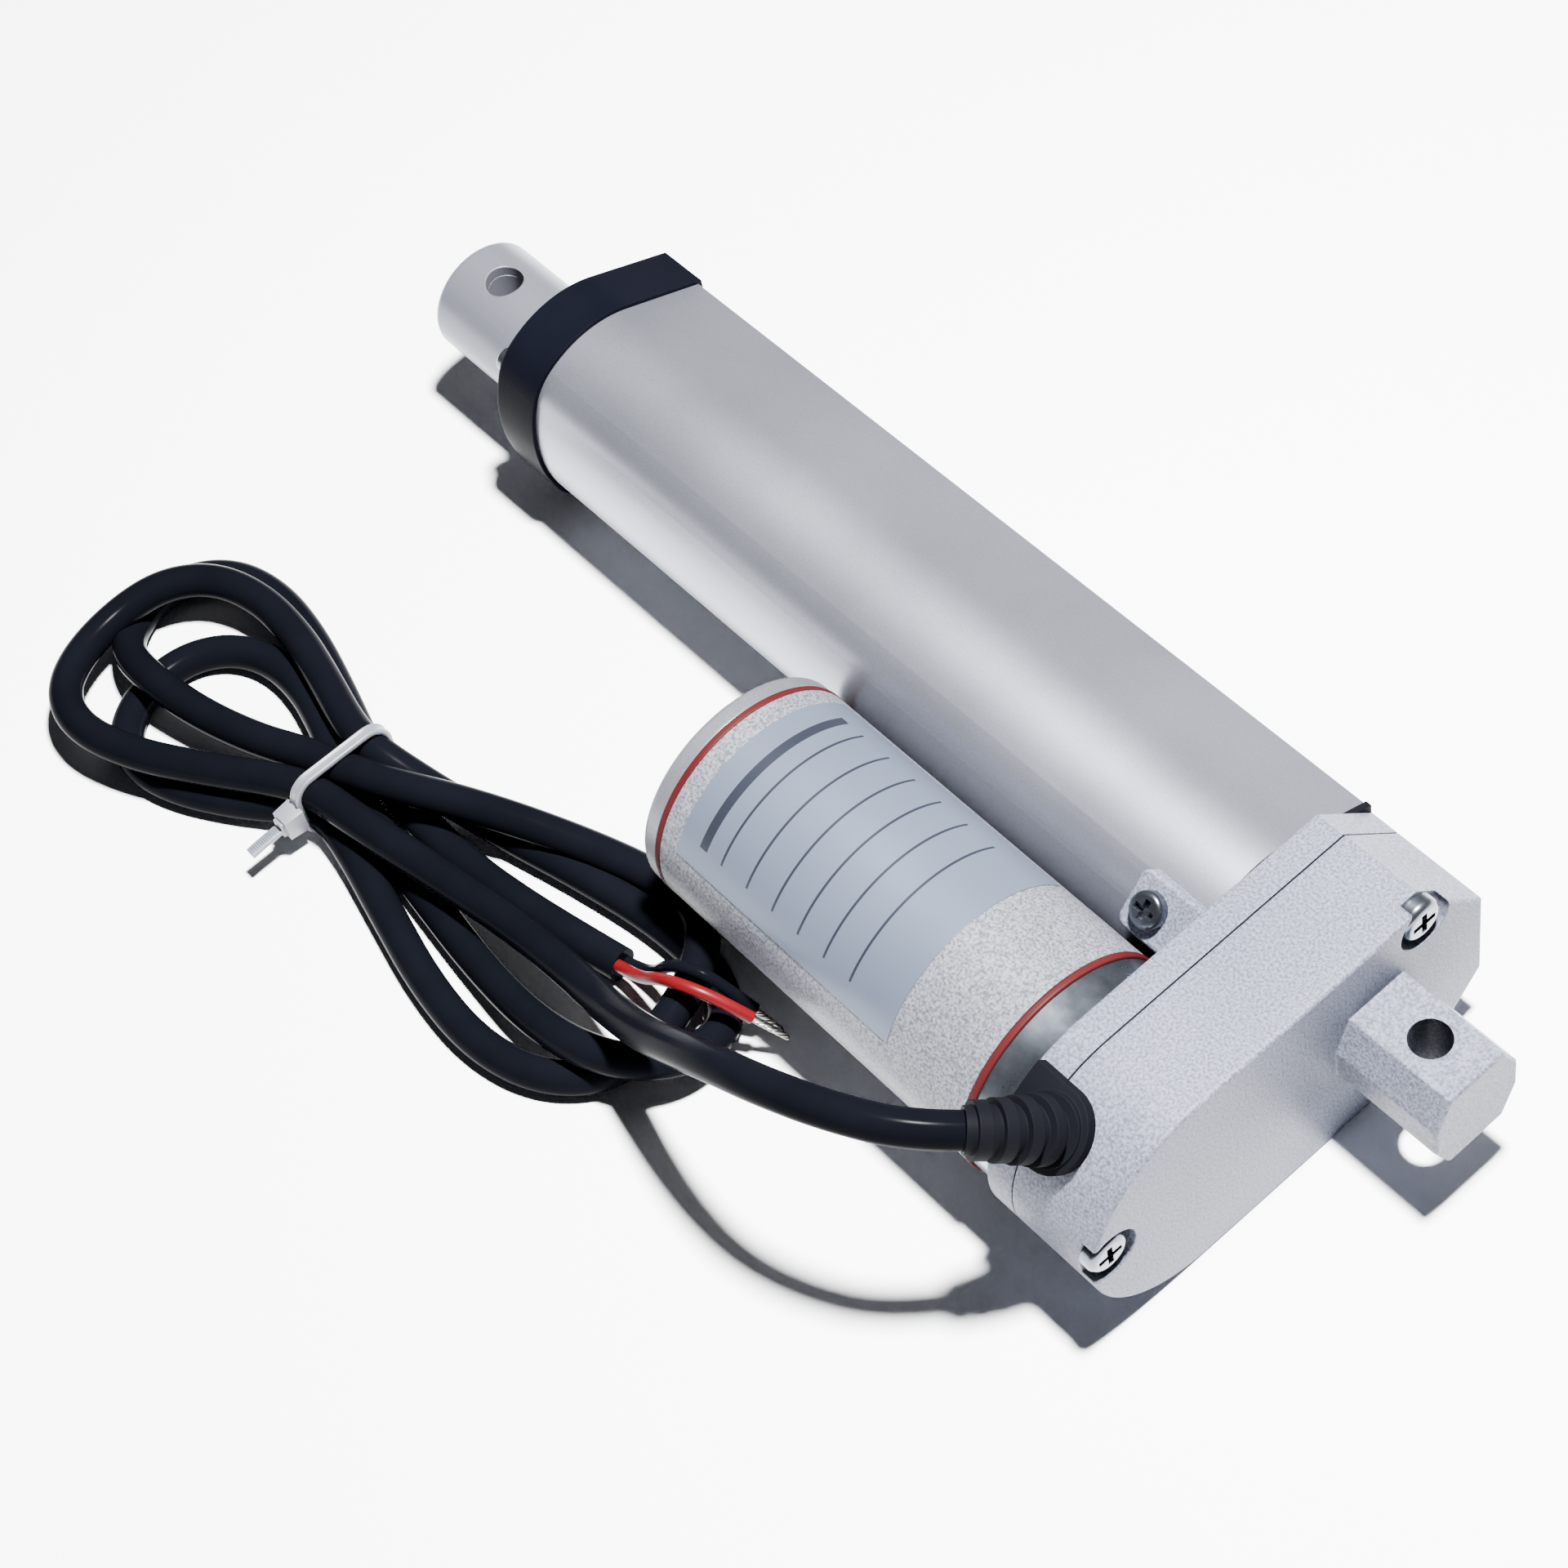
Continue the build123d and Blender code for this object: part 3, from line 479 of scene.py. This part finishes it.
looks = {
    "cast_alloy": material("cast_alloy", (0.082, 0.088, 0.114), 0.08, 0.42, (2300.0, 0.8, 0.06),
                           (45.0, 0.06), 0.06, (0.6, 0.5), speckle=0.4, reflect=0.08),
    "blasted_tube": material("blasted_tube", (0.2, 0.208, 0.243), 0.85, 0.38, (5200.0, 0.2, 0.016),
                             (25.0, 0.03), 0.04, (0.3, 0.12), speckle=0.09, reflect=0.08),
    "blasted_sleeve": material("blasted_sleeve", (0.1, 0.104, 0.121), 0.2, 0.42, (2300.0, 0.7, 0.05),
                               (40.0, 0.05), 0.07, (0.4, 0.2), speckle=0.48, reflect=0.08),
    "rod_aluminium": material("rod_aluminium", (0.11, 0.114, 0.135), 0.5, 0.34, (900.0, 0.12, 0.01),
                              (30.0, 0.03), 0.05, (0.35, 0.25), brushed=(0.12, 4.0, 4.0), speckle=0.03,
                              reflect=0.1),
    "black_plastic": material("black_plastic", (0.0016, 0.0018, 0.0034), 0.0, 0.48, (3000.0, 0.25, 0.02),
                              (60.0, 0.12), 0.08, (0.35, 0.4), reflect=0.01),
    "black_rubber": material("black_rubber", (0.0024, 0.0026, 0.0036), 0.0, 0.58, (2400.0, 0.3, 0.03),
                             (70.0, 0.15), 0.1, (0.3, 0.4), reflect=0.015),
    "zinc_steel": material("zinc_steel", (0.105, 0.117, 0.138), 0.95, 0.28, (1500.0, 0.12, 0.01),
                           (120.0, 0.10), 0.09, (0.15, 0.2), speckle=0.04),
    "end_cap_alloy": material("end_cap_alloy", (0.1, 0.103, 0.117), 0.45, 0.40, (3000.0, 0.35, 0.02),
                              (45.0, 0.05), 0.06, (0.4, 0.2), speckle=0.10),
    "red_seal": material("red_seal", (0.030, 0.0035, 0.004), 0.0, 0.55, (2500.0, 0.2, 0.015),
                         (80.0, 0.12), 0.1, (0.2, 0.15), reflect=0.06),
    "label_film": material("label_film", (0.063, 0.076, 0.104), 0.25, 0.36, (4000.0, 0.06, 0.006),
                           (50.0, 0.03), 0.04, (0.1, 0.1), extra=label_print, reflect=0.2),
    "machined_steel": material("machined_steel", (0.55, 0.55, 0.56), 1.0, 0.28, (1400.0, 0.2, 0.01),
                               (90.0, 0.08), 0.08, (0.15, 0.2)),
    "acetal": material("acetal", (0.72, 0.71, 0.66), 0.0, 0.4, (1800.0, 0.12, 0.01),
                       (60.0, 0.05), 0.08, (0.2, 0.1)),
    "bronze": material("bronze", (0.55, 0.36, 0.16), 1.0, 0.38, (2600.0, 0.3, 0.02),
                       (80.0, 0.12), 0.1, (0.15, 0.2), speckle=0.08),
    "copper": material("copper", (0.72, 0.32, 0.16), 1.0, 0.3, (1500.0, 0.3, 0.03),
                       (90.0, 0.12), 0.1, (0.1, 0.2), brushed=(0.3, 5.0, 5.0)),
    "electrical_steel": material("electrical_steel", (0.34, 0.35, 0.37), 0.9, 0.42,
                                 (900.0, 0.5, 0.03), (60.0, 0.08), 0.08, (0.1, 0.2),
                                 brushed=(8.0, 0.2, 0.2)),
    "ferrite": material("ferrite", (0.06, 0.06, 0.065), 0.1, 0.6, (2000.0, 0.4, 0.03),
                        (60.0, 0.12), 0.1, (0.2, 0.3)),
    "board": material("board", (0.03, 0.16, 0.07), 0.0, 0.4, (2500.0, 0.15, 0.01),
                      (80.0, 0.1), 0.06, (0.1, 0.3), coat=0.3),
    "switch_plastic": material("switch_plastic", (0.05, 0.05, 0.055), 0.0, 0.45,
                               (2500.0, 0.2, 0.015), (80.0, 0.1), 0.08, (0.15, 0.4)),
    "cable_sheath": material("cable_sheath", (0.0016, 0.0018, 0.0028), 0.0, 0.2, (700.0, 0.10, 0.03),
                             (45.0, 0.25), 0.07, (0.15, 0.15), reflect=0.004),
    "red_insulation": material("red_insulation", (0.062, 0.002, 0.0035), 0.0, 0.36, (900.0, 0.12, 0.02),
                               (120.0, 0.15), 0.1, (0.1, 0.1), reflect=0.1),
    "tinned_copper": material("tinned_copper", (0.26, 0.25, 0.235), 1.0, 0.32, (2500.0, 0.3, 0.02),
                              (500.0, 0.18), 0.1, (0.05, 0.1), speckle=0.1),
    "nylon": material("nylon", (0.10, 0.107, 0.125), 0.0, 0.38, (1500.0, 0.12, 0.02),
                      (150.0, 0.06), 0.08, (0.15, 0.1)),
}
nylon = looks["nylon"].node_tree.nodes["Principled BSDF"]
nylon.inputs["Subsurface Weight"].default_value = 0.35
nylon.inputs["Subsurface Scale"].default_value = 0.0015
nylon.inputs["Transmission Weight"].default_value = 0.06

slot_of_node = {part["node"]: part["material_slot"] for part in frame["record"]["subparts"]}
for node, obj in frame["nodes"].items():
    obj.data.materials.clear()
    obj.data.materials.append(looks[slot_of_node[node]])
for piece, slot in ((cable, "cable_sheath"), (tie, "nylon"), *wire_slots):
    piece.data.materials.append(looks[slot])

# ---- floor and light ---------------------------------------------------------------------------------
floor_mesh = bpy.data.meshes.new("floor")
bm = bmesh.new()
bmesh.ops.create_grid(bm, x_segments=2, y_segments=2, size=3.0)
bm.to_mesh(floor_mesh)
bm.free()
floor = add_object("floor", floor_mesh)
floor.location = (0.1, 0.0, FLOOR_Z)
floor_mat = material("floor", (0.86, 0.865, 0.875), 0.0, 0.8, (300.0, 0.02, 0.01), (6.0, 0.004), 0.02,
                     (0.1, 0.0))
floor_mesh.materials.append(floor_mat)

world = bpy.data.worlds.new("studio")
bpy.context.scene.world = world
world.use_nodes = True
wn, wl = world.node_tree.nodes, world.node_tree.links
sky = wn["Background"]
way = wn.new("ShaderNodeTexCoord")
parts = wn.new("ShaderNodeSeparateXYZ")
wl.new(way.outputs["Generated"], parts.inputs[0])
ramp = wn.new("ShaderNodeValToRGB")
ramp.color_ramp.elements[0].position = 0.0
ramp.color_ramp.elements[0].color = (0.20, 0.205, 0.24, 1)
ramp.color_ramp.elements[1].position = 0.75
ramp.color_ramp.elements[1].color = (0.62, 0.64, 0.72, 1)
wl.new(parts.outputs["Z"], ramp.inputs["Fac"])
wl.new(ramp.outputs["Color"], sky.inputs["Color"])
sky.inputs["Strength"].default_value = 0.05


def area_light(name, size, power, place, target, colour=(1, 1, 1)):
    """A round lamp that faces its target; metres and watts."""
    data = bpy.data.lights.new(name, "AREA")
    data.shape = "DISK"
    data.size = size
    data.energy = power
    data.color = colour
    light = add_object(name, data)
    light.location = place
    light.rotation_mode = "QUATERNION"
    light.rotation_quaternion = (Vector(target) - Vector(place)).to_track_quat("-Z", "Y")


area_light("key", 0.07, 64.0, (-0.008, -0.065, 0.70), (0.06, 0.0, 0.0))
area_light("overhead", 0.9, 0.8, (0.1, -0.5, 0.9), (0.1, 0.02, 0.0), (0.95, 0.97, 1.0))
